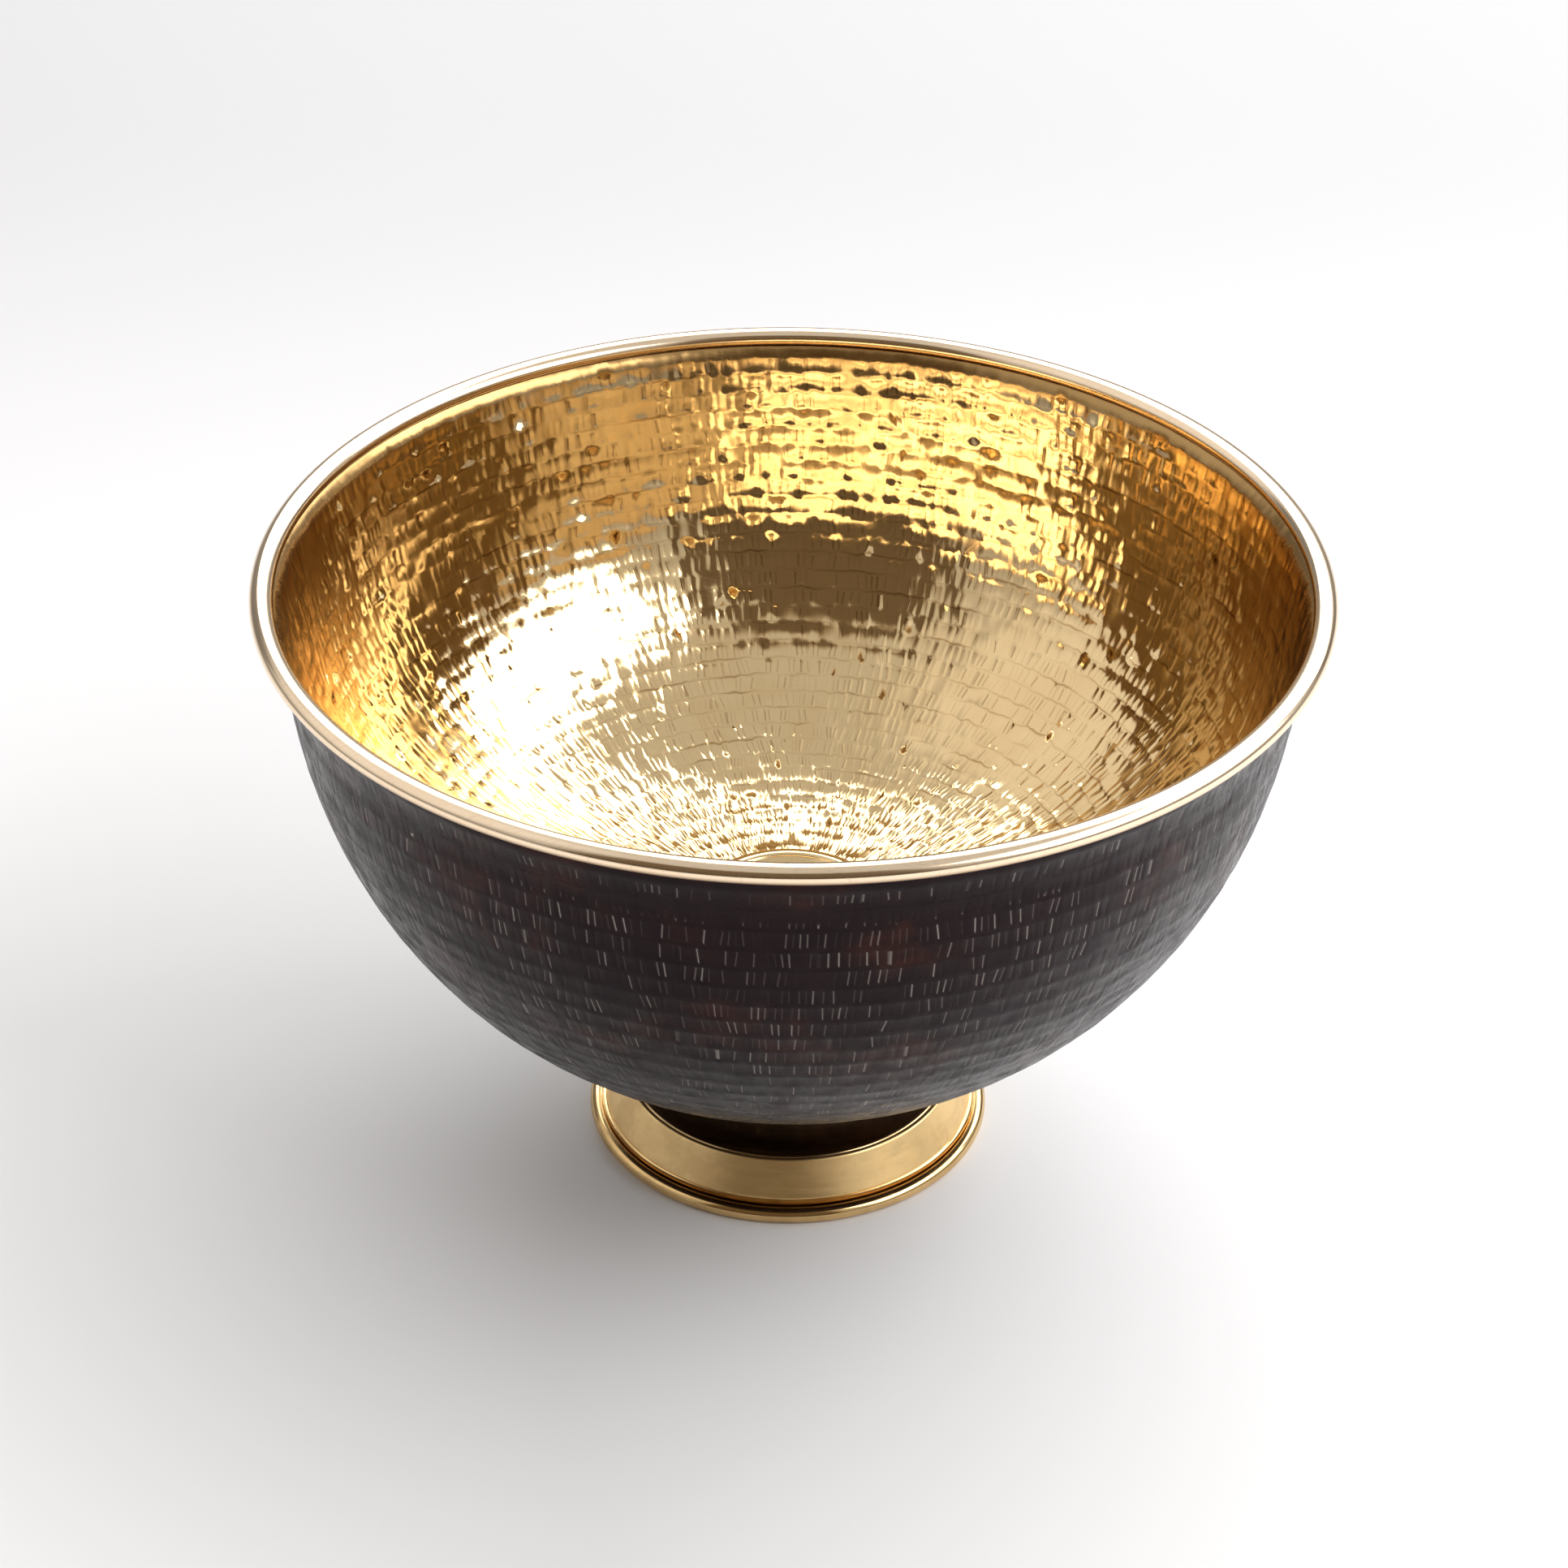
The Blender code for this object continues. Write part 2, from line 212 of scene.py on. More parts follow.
# %% The turning tree: put together
def build_turning_tree():
    tree, ids = new_turning_tree()
    inputs = tree.nodes.new("NodeGroupInput").outputs
    section = inputs["Section"]
    count = node(tree, "GeometryNodeAttributeDomainSize", section).outputs["Point Count"]
    tube = node(tree, "GeometryNodeMeshCylinder", fill_type="NONE")
    feed(tree, tube.inputs["Vertices"], inputs["Columns"])
    last_ring = calc(tree, "SUBTRACT", count, 1.0)
    feed(tree, tube.inputs["Side Segments"], last_ring)
    feed(tree, tube.inputs["Radius"], 1.0)
    feed(tree, tube.inputs["Depth"], 1.0)

    start = node(tree, "ShaderNodeSeparateXYZ", node(tree, "GeometryNodeInputPosition").outputs[0]).outputs
    ring = calc(tree, "ROUND", calc(tree, "MULTIPLY", calc(tree, "SUBTRACT", 0.5, start["Z"]), last_ring))
    angle = calc(tree, "ARCTAN2", start["Y"], start["X"])
    place = section_value(tree, section, ring, "place", "FLOAT_VECTOR")
    outward = section_value(tree, section, ring, "outward", "FLOAT_VECTOR")
    along = section_value(tree, section, ring, "along", "FLOAT_VECTOR")
    course = section_value(tree, section, ring, "course")
    press = section_value(tree, section, ring, "press")
    side = section_value(tree, section, ring, "side")
    ridge = section_value(tree, section, ring, "ridge")
    loose = section_value(tree, section, ring, "loose")
    layer = calc(tree, "MULTIPLY_ADD", course, 3.7, inputs["Seed"])
    nick = nick_force(tree, inputs, angle, layer, press)

    radius, _, height = node(tree, "ShaderNodeSeparateXYZ", place).outputs
    swing = circle_noise(tree, angle, calc(tree, "ADD", layer, 97.0), 14.0)
    lean = calc(tree, "MULTIPLY", calc(tree, "MULTIPLY", swing, side), inputs["Lean"])
    leaned = calc(tree, "ADD", angle, calc(tree, "DIVIDE", lean, calc(tree, "MAXIMUM", radius, 5 * MM)))

    hill = solid_noise(
        tree,
        calc(tree, "MULTIPLY", radius, calc(tree, "COSINE", angle)),
        calc(tree, "MULTIPLY", radius, calc(tree, "SINE", angle)),
        calc(tree, "MULTIPLY_ADD", height, 2.2, inputs["Seed"]),
        calc(tree, "DIVIDE", 1.0, inputs["Dimple Size"]),
        1.0,
    )
    unevenness = circle_noise(tree, angle, calc(tree, "ADD", layer, 13.0), 8.0)
    uneven = calc(tree, "MULTIPLY_ADD", unevenness, 0.5, 1.0)
    crease = calc(tree, "MULTIPLY", calc(tree, "MULTIPLY", ridge, inputs["Crease"]), uneven)
    raised = calc(tree, "MULTIPLY_ADD", hill, inputs["Dimple"], crease)
    lift = calc(tree, "SUBTRACT", raised, calc(tree, "MULTIPLY", nick, inputs["Nick Depth"]))
    ends = calc(tree, "ADD", layer, calc(tree, "MULTIPLY_ADD", side, 2.3, 29.0))
    freedom = calc(tree, "MULTIPLY_ADD", press, 0.6, ridge)
    drift = circle_noise(tree, angle, ends, 26.0, 2.0)
    drift = calc(tree, "MULTIPLY", calc(tree, "MULTIPLY", drift, freedom), inputs["Wander"])

    moved = place
    for way, amount in ((outward, lift), (along, drift)):
        step = scaled(tree, way, calc(tree, "MULTIPLY", amount, loose))
        moved = node(tree, "ShaderNodeVectorMath", moved, step, operation="ADD").outputs[0]
    flat = node(tree, "ShaderNodeSeparateXYZ", moved).outputs
    final = node(
        tree, "ShaderNodeCombineXYZ",
        calc(tree, "MULTIPLY", flat["X"], calc(tree, "COSINE", leaned)),
        calc(tree, "MULTIPLY", flat["X"], calc(tree, "SINE", leaned)),
        flat["Z"],
    ).outputs[0]

    mesh = tube.outputs["Mesh"]
    for name, value in (("nick", nick), ("ridge", calc(tree, "MULTIPLY", ridge, uneven))):
        store = node(tree, "GeometryNodeStoreNamedAttribute", data_type="FLOAT", domain="POINT")
        feed(tree, store.inputs["Geometry"], mesh)
        feed(tree, store.inputs["Name"], name)
        feed(tree, next(s for s in store.inputs if s.name == "Value" and s.enabled), value)
        mesh = store.outputs[0]
    placed = node(tree, "GeometryNodeSetPosition", mesh)
    feed(tree, placed.inputs["Position"], final)
    closed = node(tree, "GeometryNodeMergeByDistance", placed.outputs[0])
    feed(tree, closed.inputs["Distance"], 0.002 * MM)
    smooth = node(tree, "GeometryNodeSetShadeSmooth", closed.outputs[0])
    real = node(tree, "GeometryNodeRealizeInstances", smooth.outputs[0])
    metal = node(tree, "GeometryNodeSetMaterial", real.outputs[0])
    feed(tree, metal.inputs["Material"], inputs["Metal"])
    feed(tree, tree.nodes.new("NodeGroupOutput").inputs[0], metal.outputs[0])
    return tree, ids


TURNING_TREE, TURNING_IDS = build_turning_tree()
print("turning tree nodes:", len(TURNING_TREE.nodes))

# %% [markdown]
# ## From a section to a piece
# A section is a list of rows. Each row is a point (radius, height) with what happens there: its course,
# whether the hammer presses, which end of a nick it is, how much of a ridge it is, and whether the
# surface is free to move. The section runs clockwise, so its metal is on the right and its outside on
# the left. After the tree has run, its result is kept as a plain mesh and the modifier goes.


# %% Section rows and the turned piece
def row(point, course=0.0, press=0.0, side=0.0, ridge=0.0, loose=0.0):
    return {"point": point, "course": course, "press": press, "side": side, "ridge": ridge, "loose": loose}


def outwards(points):
    """The outward unit vector at each point of a closed section that runs clockwise."""
    found = []
    for i, point in enumerate(points):
        before, after = Vector(points[i - 1]), Vector(points[(i + 1) % len(points)])
        here = Vector(point)
        run = (here - before).normalized() + (after - here).normalized()
        run = run.normalized() if run.length > 1e-6 else (after - here).normalized()
        found.append(Vector((-run.y, run.x)))
    return found


def section_object(name, rows):
    """The closed section as a mesh, which holds the rows' values as attributes of its points."""
    ways = outwards([r["point"] for r in rows])
    rows, ways = rows + rows[:1], ways + ways[:1]
    places = [(r["point"][0], 0, r["point"][1]) for r in rows]
    mesh = bpy.data.meshes.new(name)
    mesh.from_pydata(places, [(i, i + 1) for i in range(len(rows) - 1)], [])
    vectors = {
        "place": places,
        "outward": [(w.x, 0, w.y) for w in ways],
        "along": [(w.y, 0, -w.x) for w in ways],
    }
    for key, values in vectors.items():
        attribute = mesh.attributes.new(key, "FLOAT_VECTOR", "POINT")
        attribute.data.foreach_set("vector", [c for v in values for c in v])
    for key in ("course", "press", "side", "ridge", "loose"):
        attribute = mesh.attributes.new(key, "FLOAT", "POINT")
        attribute.data.foreach_set("value", [r[key] for r in rows])
    made = bpy.data.objects.new(name, mesh)
    bpy.context.scene.collection.objects.link(made)
    return made


def as_plain_mesh(obj, name):
    """The object's evaluated mesh in place of its modifiers."""
    bpy.context.view_layer.update()
    evaluated = obj.evaluated_get(bpy.context.evaluated_depsgraph_get())
    made = bpy.data.meshes.new_from_object(evaluated)
    obj.modifiers.clear()
    obj.data = made
    made.name = name
    return obj


def turned(name, rows, metal, columns, **settings):
    """The section turned round Z by the tree, as a plain mesh."""
    obj = section_object(name, rows)
    modifier = obj.modifiers.new("Turn", "NODES")
    modifier.node_group = TURNING_TREE
    for key, value in {"Columns": columns, "Metal": metal, **settings}.items():
        modifier[TURNING_IDS[key]] = value
    as_plain_mesh(obj, name)
    for key in ("place", "outward", "along", "course", "press", "side", "loose"):
        if key in obj.data.attributes:
            obj.data.attributes.remove(obj.data.attributes[key])
    triangles = sum(len(p.vertices) - 2 for p in obj.data.polygons)
    print(f"{name}: {len(rows)} rows, {triangles} triangles")
    return obj


def plain(points):
    return [row(p) for p in points]


# %% [markdown]
# ## Lines to build sections from
# An arc, a line moved sideways and a wall that can be walked by its length are all that the sections
# need. Walking by length matters: the courses are evenly spaced along the metal, and not in height.


# %% Arcs, offsets and walls
def arc(centre, radii, start, end, steps):
    """Points on an ellipse's arc, from start to end in degrees."""
    turns = [math.radians(start + (end - start) * i / steps) for i in range(steps + 1)]
    return [(centre[0] + radii[0] * math.cos(a), centre[1] + radii[1] * math.sin(a)) for a in turns]


def inset(line, distance):
    """The line moved sideways by distance, to the right of the way it runs."""
    points = [Vector(p) for p in line]
    sides = []
    for a, b in zip(points, points[1:]):
        run = (b - a).normalized()
        sides.append(Vector((run.y, -run.x)))
    moved = []
    for i, point in enumerate(points):
        before, after = sides[max(i - 1, 0)], sides[min(i, len(sides) - 1)]
        middle = (before + after).normalized()
        moved.append(tuple(point + middle * (distance / middle.dot(before))))
    return moved


def wall_line(shape, lowest, steps=600):
    """A bowl's outside from the rim down to its lowest radius. Each lip leans its last stretch out."""
    last = math.acos((lowest / shape["radius"]) ** (1 / shape["power"]))
    line = []
    for i in range(steps + 1):
        angle = last * (i / steps) ** 1.5
        drop = shape["depth"] * math.sin(angle) ** shape["power"]
        lean = sum(width * max(0.0, 1 - drop / height) ** 2 for width, height in shape["lips"])
        line.append((shape["radius"] * math.cos(angle) ** shape["power"] + lean, EQUATOR - drop))
    return line


def walk(line):
    """The line's length so far at each of its points."""
    lengths = [0.0]
    for a, b in zip(line, line[1:]):
        lengths.append(lengths[-1] + math.dist(a, b))
    return lengths


def at_length(line, lengths, distance):
    """The point that far down the line."""
    for i in range(1, len(line)):
        if lengths[i] >= distance or i == len(line) - 1:
            share = (distance - lengths[i - 1]) / (lengths[i] - lengths[i - 1])
            return tuple(a + (b - a) * share for a, b in zip(line[i - 1], line[i]))


# %% [markdown]
# ## Courses of nicks
# Each course is three rows: the crease above it, and the top and bottom ends of its nicks.


# %% Hammered rows
def hammered_rows(line, first, pitch, nick_from, nick_to):
    """Rows down the line: bare until first, then one course after another to the end."""
    lengths = walk(line)
    rows, course = [], 0
    distance = first
    while distance + pitch <= lengths[-1]:
        rows.append(row(at_length(line, lengths, distance), course, ridge=1.0, loose=1.0))
        for share, side in ((nick_from, 1.0), (nick_to, -1.0)):
            point = at_length(line, lengths, distance + share * pitch)
            rows.append(row(point, course, press=1.0, side=side, loose=1.0))
        distance += pitch
        course += 1
    print(f"{course} courses of {pitch / MM:.1f} mm down {lengths[-1] / MM:.0f} mm of wall")
    return rows


# %% [markdown]
# ## Shared finishes
# Effects that several metals share are node groups, which put out masks and values only. Each reads the
# object's own coordinates, and these pieces lie at the origin, so that is the bowl's own frame.


# %% Effect groups
def effect(name, inputs, outputs):
    """An empty shader group with its float inputs (name, default) and float outputs."""
    tree = bpy.data.node_groups.new(name, "ShaderNodeTree")
    for label, default in inputs:
        socket = tree.interface.new_socket(label, in_out="INPUT", socket_type="NodeSocketFloat")
        socket.default_value = default
    for label in outputs:
        tree.interface.new_socket(label, in_out="OUTPUT", socket_type="NodeSocketFloat")
    given = tree.nodes.new("NodeGroupInput").outputs
    result = tree.nodes.new("NodeGroupOutput").inputs
    place = tree.nodes.new("ShaderNodeTexCoord").outputs["Object"]
    return tree, given, result, place


def texture_noise(tree, vector, scale, detail=2.0, rough=0.5):
    made = node(tree, "ShaderNodeTexNoise", noise_dimensions="3D")
    feed(tree, made.inputs["Vector"], vector)
    feed(tree, made.inputs["Scale"], scale)
    feed(tree, made.inputs["Detail"], detail)
    feed(tree, made.inputs["Roughness"], rough)
    return made.outputs[0]


def ramp(tree, value, low, high, to_low=0.0, to_high=1.0):
    """A smooth step of the value between low and high."""
    made = node(tree, "ShaderNodeMapRange", interpolation_type="SMOOTHSTEP")
    labels = ("Value", "From Min", "From Max", "To Min", "To Max")
    for label, given in zip(labels, (value, low, high, to_low, to_high)):
        feed(tree, made.inputs[label], given)
    return made.outputs[0]


def make_stains():
    """Cloudy patches, with an uneven edge."""
    tree, given, result, place = effect("stains", [("Size", 0.03), ("Cover", 0.5), ("Seed", 0.0)], ["Mask"])
    offset = node(tree, "ShaderNodeCombineXYZ", given["Seed"], given["Seed"], given["Seed"]).outputs[0]
    moved = node(tree, "ShaderNodeVectorMath", place, offset, operation="ADD").outputs[0]
    cloud = texture_noise(tree, moved, calc(tree, "DIVIDE", 1.0, given["Size"]), 5.0, 0.6)
    low = calc(tree, "MULTIPLY_ADD", given["Cover"], -0.5, 0.7)
    feed(tree, result["Mask"], ramp(tree, cloud, low, calc(tree, "ADD", low, 0.14)))
    return tree


def make_turning_lines():
    """Fine lines that run round the axis, as a lathe or a polishing wheel leaves them."""
    tree, given, result, place = effect("turning_lines", [("Per Metre", 900.0), ("Seed", 0.0)], ["Value"])
    parts = node(tree, "ShaderNodeSeparateXYZ", place).outputs
    squares = [calc(tree, "POWER", parts[axis], 2.0) for axis in "XY"]
    radius = calc(tree, "SQRT", calc(tree, "ADD", *squares))
    safe = calc(tree, "MAXIMUM", radius, MM)
    across = calc(tree, "MULTIPLY", calc(tree, "MULTIPLY_ADD", radius, 0.6, parts["Z"]), given["Per Metre"])
    vector = node(
        tree, "ShaderNodeCombineXYZ",
        calc(tree, "MULTIPLY_ADD", calc(tree, "DIVIDE", parts["X"], safe), 3.0, given["Seed"]),
        calc(tree, "MULTIPLY", calc(tree, "DIVIDE", parts["Y"], safe), 3.0),
        across,
    ).outputs[0]
    feed(tree, result["Value"], texture_noise(tree, vector, 1.0, 3.0, 0.6))
    return tree


def make_scratches():
    """Hairline scratches that run every way, a few of them deeper."""
    tree, given, result, place = effect("scratches", [("Size", 0.02), ("Amount", 0.5)], ["Mask"])
    masks = []
    for turn, stretch in ((0.4, 40.0), (1.7, 55.0), (2.6, 48.0)):
        mapped = node(tree, "ShaderNodeMapping", place, vector_type="POINT")
        mapped.inputs["Rotation"].default_value = (turn, turn * 2.3, turn * 1.3)
        mapped.inputs["Scale"].default_value = (1.0, stretch, 1.0)
        bent = texture_noise(tree, place, 30.0, 1.0)
        push = scaled(tree, place, bent)
        pushed = node(tree, "ShaderNodeVectorMath", mapped.outputs[0], push, operation="ADD")
        lines = texture_noise(tree, pushed.outputs[0], calc(tree, "DIVIDE", 1.0, given["Size"]), 2.0, 0.7)
        masks.append(ramp(tree, lines, 0.62, 0.70))
    total = calc(tree, "MAXIMUM", calc(tree, "MAXIMUM", masks[0], masks[1]), masks[2])
    feed(tree, result["Mask"], calc(tree, "MULTIPLY", total, given["Amount"]))
    return tree


def make_hammer_marks():
    """The nicks and creases that the tree stored, drawn in to thin lines."""
    tree, given, result, _ = effect(
        "hammer_marks", [("Nick Sharpness", 3.0), ("Crease Sharpness", 3.0)], ["Nick", "Crease"]
    )
    for name, label in (("nick", "Nick"), ("ridge", "Crease")):
        stored = node(tree, "ShaderNodeAttribute", attribute_name=name, attribute_type="GEOMETRY")
        kept = calc(tree, "MAXIMUM", stored.outputs["Fac"], 0.0)
        feed(tree, result[label], calc(tree, "POWER", kept, given[label + " Sharpness"]))
    return tree


STAINS, TURNING_LINES = make_stains(), make_turning_lines()
SCRATCHES, HAMMER_MARKS = make_scratches(), make_hammer_marks()
print("effect groups:", [g.name for g in (STAINS, TURNING_LINES, SCRATCHES, HAMMER_MARKS)])


# %% Helpers for a metal
def new_metal(name, colour, roughness, metallic=1.0):
    """A Principled material, its tree and its shader."""
    material = bpy.data.materials.new(name)
    material.use_nodes = True
    tree = material.node_tree
    shader = tree.nodes["Principled BSDF"]
    shader.inputs["Base Color"].default_value = (*colour, 1)
    shader.inputs["Roughness"].default_value = roughness
    shader.inputs["Metallic"].default_value = metallic
    return material, tree, shader


def use(tree, group, **values):
    """One of the effect groups in this material, with its inputs set."""
    made = tree.nodes.new("ShaderNodeGroup")
    made.node_tree = group
    for label, value in values.items():
        feed(tree, made.inputs[label.replace("_", " ")], value)
    return made.outputs


def blend_colour(tree, share, first, second):
    made = node(tree, "ShaderNodeMix", data_type="RGBA", blend_type="MIX")
    feed(tree, made.inputs["Factor"], share)
    for label, colour in (("A", first), ("B", second)):
        socket = next(s for s in made.inputs if s.name == label and s.enabled)
        feed(tree, socket, colour if isinstance(colour, bpy.types.NodeSocket) else (*colour, 1))
    return out(made)


def tint(tree, mask, amount, base, colour):
    """The base with that amount of the colour where the mask is 1."""
    return blend_colour(tree, calc(tree, "MULTIPLY", mask, amount), base, colour)


def object_place(tree):
    """The point's place in the object's own frame."""
    return tree.nodes.new("ShaderNodeTexCoord").outputs["Object"]


def object_axis(tree, axis):
    return node(tree, "ShaderNodeSeparateXYZ", object_place(tree)).outputs[axis]


def bump(tree, shader, height, distance, strength=1.0):
    made = node(tree, "ShaderNodeBump")
    feed(tree, made.inputs["Strength"], strength)
    feed(tree, made.inputs["Distance"], distance)
    feed(tree, made.inputs["Height"], height)
    feed(tree, shader.inputs["Normal"], made.outputs[0])


# %% [markdown]
# ## The metals
# * The shell is copper, coloured nearly black by a liver of sulphur bath and rubbed back a little, so the
#   hammered marks show paler, partly as a painted glint, and redder patches come through. A painted
#   shadow line darkens each crease.
# * The liner and its disc are brass polished on a wheel, with a faint brown left in the marks, painted
#   shade along the creases of the liner and painted shade in the strip just under the rim.
# * The rim is brass with more copper in it, polished, and dull underneath where no cloth reaches; the brown
#   of its underside is painted shade.
# * The foot is brass turned on the lathe: the neck polished and dark with its own reflections, the cone
#   band brushed and stained, the base roll polished, its brass a little darker as painted shade.


# %% Patinated copper for the shell
PATINA, RED_PATINA, DARK_PATINA = (0.022, 0.014, 0.015), (0.044, 0.018, 0.014), (0.016, 0.011, 0.012)
STREAK_BLACK, PAINTED_CREASE_SHADOW_BLACK, RUBBED_NICK_AND_GLINT = (0.014, 0.010, 0.012), (0.012, 0.008, 0.009), (0.38, 0.33, 0.30)


def patinated_copper():
    material, tree, shader = new_metal("patinated_copper", (0.03, 0.02, 0.022), 0.34)
    marks = use(tree, HAMMER_MARKS, Nick_Sharpness=6.5, Crease_Sharpness=3.0)
    red = use(tree, STAINS, Size=0.045, Cover=0.36)["Mask"]
    cloud = use(tree, STAINS, Size=0.011, Cover=0.5, Seed=3.0)["Mask"]
    streak = ramp(tree, use(tree, TURNING_LINES, Per_Metre=160.0, Seed=8.0)["Value"], 0.40, 0.62)
    base = tint(tree, red, 0.8, PATINA, RED_PATINA)
    base = tint(tree, cloud, 0.4, base, DARK_PATINA)
    base = tint(tree, streak, 0.35, base, STREAK_BLACK)
    # The dark line along each crease is a painted shadow line.
    base = tint(tree, marks["Crease"], 0.25, base, PAINTED_CREASE_SHADOW_BLACK)
    # The pale grey in the nicks is partly rubbed-back patina and partly a painted glint.
    base = tint(tree, marks["Nick"], 0.95, base, RUBBED_NICK_AND_GLINT)
    feed(tree, shader.inputs["Base Color"], base)
    rough = calc(tree, "MULTIPLY_ADD", cloud, 0.10, 0.27)
    rough = calc(tree, "MULTIPLY_ADD", streak, 0.05, rough)
    feed(tree, shader.inputs["Roughness"], calc(tree, "MULTIPLY_ADD", marks["Nick"], -0.06, rough))
    grain = texture_noise(tree, object_place(tree), 900.0, 2.0)
    height = calc(tree, "MULTIPLY_ADD", grain, 0.08, calc(tree, "MULTIPLY", marks["Nick"], -1.0))
    bump(tree, shader, height, 0.12 * MM, 0.7)
    return material


# %% Polished brass for the liner and its disc
YELLOW_BRASS, WARM_BRASS, UNDER_RIM_PAINTED_SHADE = (0.88, 0.66, 0.36), (0.80, 0.57, 0.29), (0.42, 0.25, 0.09)
NICK_BROWN, PAINTED_CREASE_SHADOW_BROWN = (0.28, 0.16, 0.06), (0.50, 0.32, 0.14)


def polished_brass(name="polished_brass", marks_shown=1.0):
    """Wheel-polished brass, brown in its marks, with painted shade along the creases and in the strip under
    the rim.
    """
    material, tree, shader = new_metal(name, (0.90, 0.70, 0.36), 0.1)
    marks = use(tree, HAMMER_MARKS, Nick_Sharpness=3.0, Crease_Sharpness=3.5)
    cloud = use(tree, STAINS, Size=0.03, Cover=0.5, Seed=1.0)["Mask"]
    hair = use(tree, SCRATCHES, Size=0.02, Amount=0.5)["Mask"]
    base = tint(tree, cloud, 0.4, YELLOW_BRASS, WARM_BRASS)
    base = tint(tree, marks["Nick"], 0.8 * marks_shown, base, NICK_BROWN)
    # The brown along each crease is painted shade.
    base = tint(tree, marks["Crease"], 0.35 * marks_shown, base, PAINTED_CREASE_SHADOW_BROWN)
    height = object_axis(tree, "Z")
    # The brown strip just under the rim is painted shade.
    under_rim_painted_shade = ramp(tree, height, EQUATOR - 7 * MM, EQUATOR - 2 * MM)
    base = tint(tree, under_rim_painted_shade, 0.9, base, UNDER_RIM_PAINTED_SHADE)
    feed(tree, shader.inputs["Base Color"], base)
    rough = calc(tree, "MULTIPLY_ADD", cloud, 0.03, 0.10)
    rough = calc(tree, "MULTIPLY_ADD", under_rim_painted_shade, 0.15, rough)
    feed(tree, shader.inputs["Roughness"], calc(tree, "MULTIPLY_ADD", hair, 0.12, rough))
    bump(tree, shader, calc(tree, "MULTIPLY", marks["Nick"], -1.0), 0.08 * MM, 0.5)
    return material


# %% Rim brass
RIM_GOLD, RIM_ROSE = (0.98, 0.79, 0.57), (0.95, 0.73, 0.50)
RIM_PAINTED_SHADE, RIM_HAIR = (0.38, 0.20, 0.08), (0.62, 0.42, 0.28)


def rim_brass():
    material, tree, shader = new_metal("rim_brass", RIM_GOLD, 0.16)
    hair = use(tree, SCRATCHES, Size=0.02, Amount=0.8)["Mask"]
    lines = use(tree, TURNING_LINES, Per_Metre=2500.0)["Value"]
    height = object_axis(tree, "Z")
    # The brown on the rim's lower half is painted shade; the rougher finish there is real.
    under = ramp(tree, height, RIM_CENTRE[1] - 2.6 * MM, RIM_CENTRE[1] - 0.2 * MM, 1.0, 0.0)
    cloud = use(tree, STAINS, Size=0.02, Cover=0.5)["Mask"]
    base = tint(tree, cloud, 0.4, RIM_GOLD, RIM_ROSE)
    base = tint(tree, under, 0.95, base, RIM_PAINTED_SHADE)
    base = tint(tree, hair, 0.35, base, RIM_HAIR)
    feed(tree, shader.inputs["Base Color"], base)
    rough = calc(tree, "MULTIPLY_ADD", lines, 0.08, 0.12)
    feed(tree, shader.inputs["Roughness"], calc(tree, "MULTIPLY_ADD", under, 0.2, rough))
    bump(tree, shader, calc(tree, "MULTIPLY_ADD", hair, -0.6, lines), 0.01 * MM, 0.4)
    return material


# %% Foot brasses
def foot_brass(name, colour, dark, roughness, brushing, stain):
    """Turned brass: lines round the axis, brown stains, and scratches."""
    material, tree, shader = new_metal(name, colour, roughness)
    lines = use(tree, TURNING_LINES, Per_Metre=1400.0)["Value"]
    broad = use(tree, TURNING_LINES, Per_Metre=260.0, Seed=5.0)["Value"]
    cloud = use(tree, STAINS, Size=0.022, Cover=0.45, Seed=2.0)["Mask"]
    hair = use(tree, SCRATCHES, Size=0.012, Amount=0.35)["Mask"]
    streak = ramp(tree, broad, 0.42, 0.62)
    share = calc(tree, "MULTIPLY", calc(tree, "MULTIPLY_ADD", streak, 0.5, cloud), stain)
    base = blend_colour(tree, share, colour, dark)
    base = tint(tree, hair, 0.3, base, dark)
    feed(tree, shader.inputs["Base Color"], base)
    rough = calc(tree, "MULTIPLY_ADD", lines, brushing, roughness - 0.5 * brushing)
    feed(tree, shader.inputs["Roughness"], calc(tree, "MULTIPLY_ADD", cloud, 0.08, rough))
    bump(tree, shader, calc(tree, "MULTIPLY_ADD", hair, -0.3, lines), 0.02 * MM, brushing * 2.0)
    return material


# %% Steel and fibre, for the fixings
ZINC, ZINC_DULL, ZINC_HAIR = (0.62, 0.62, 0.64), (0.45, 0.46, 0.50), (0.3, 0.3, 0.3)
FIBRE_RED, FIBRE_BROWN = (0.30, 0.12, 0.07), (0.22, 0.08, 0.05)


def zinc_steel():
    material, tree, shader = new_metal("zinc_steel", (0.60, 0.60, 0.62), 0.34)
    cloud = use(tree, STAINS, Size=0.004, Cover=0.5, Seed=4.0)["Mask"]
    hair = use(tree, SCRATCHES, Size=0.008, Amount=0.6)["Mask"]
    base = tint(tree, cloud, 0.5, ZINC, ZINC_DULL)
    feed(tree, shader.inputs["Base Color"], tint(tree, hair, 0.4, base, ZINC_HAIR))
    feed(tree, shader.inputs["Roughness"], calc(tree, "MULTIPLY_ADD", cloud, 0.14, 0.27))
    return material


def red_fibre():
    material, tree, shader = new_metal("fibre", FIBRE_RED, 0.8, metallic=0.0)
    cloud = use(tree, STAINS, Size=0.002, Cover=0.5)["Mask"]
    feed(tree, shader.inputs["Base Color"], blend_colour(tree, cloud, FIBRE_RED, FIBRE_BROWN))
    return material


